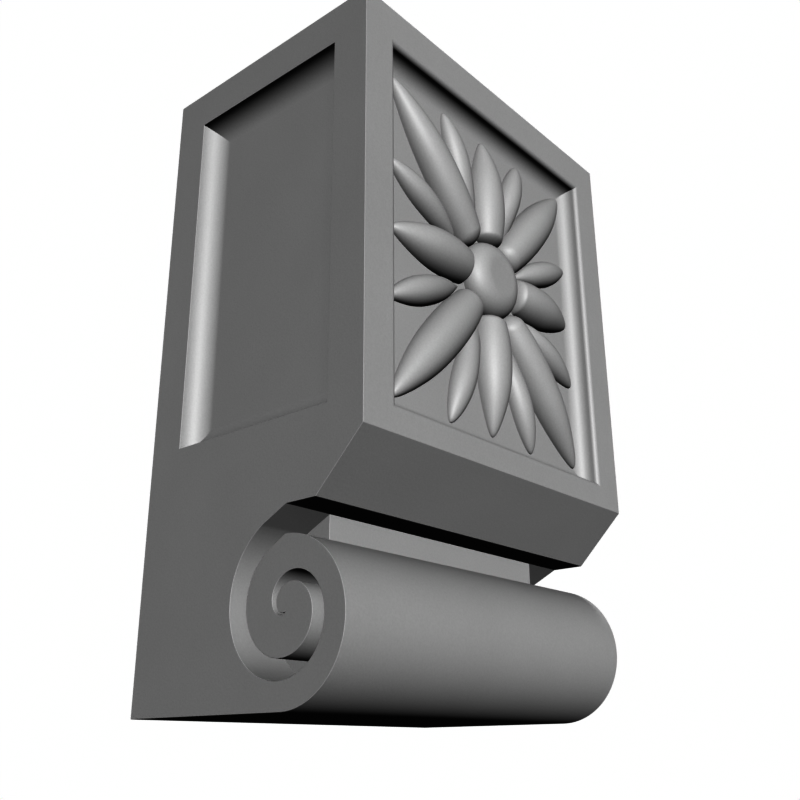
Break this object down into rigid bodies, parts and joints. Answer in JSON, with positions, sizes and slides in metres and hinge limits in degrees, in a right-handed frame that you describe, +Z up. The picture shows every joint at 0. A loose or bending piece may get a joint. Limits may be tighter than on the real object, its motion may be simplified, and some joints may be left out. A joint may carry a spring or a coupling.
{
  "type": "carved stone bracket",
  "caption": "Corbel: a block with coved side panels and a flower in a moulded front panel, over a foot rolled into a scroll at each end.",
  "frame": {"origin": "centre of the bracket's bounding rectangle, at the level of its flat underside", "axes": "+Z up, +Y out of the flat back towards the wall, so the flower faces -Y; +X to the right of someone who faces the flower"},
  "size_m": [0.2, 0.1363, 0.315],
  "materials": {
    "stone": "rubbed smooth, fine-grained"
  },
  "bodies": {
    "root": {"carved_bracket": "stone"}
  },
  "joints": []
}
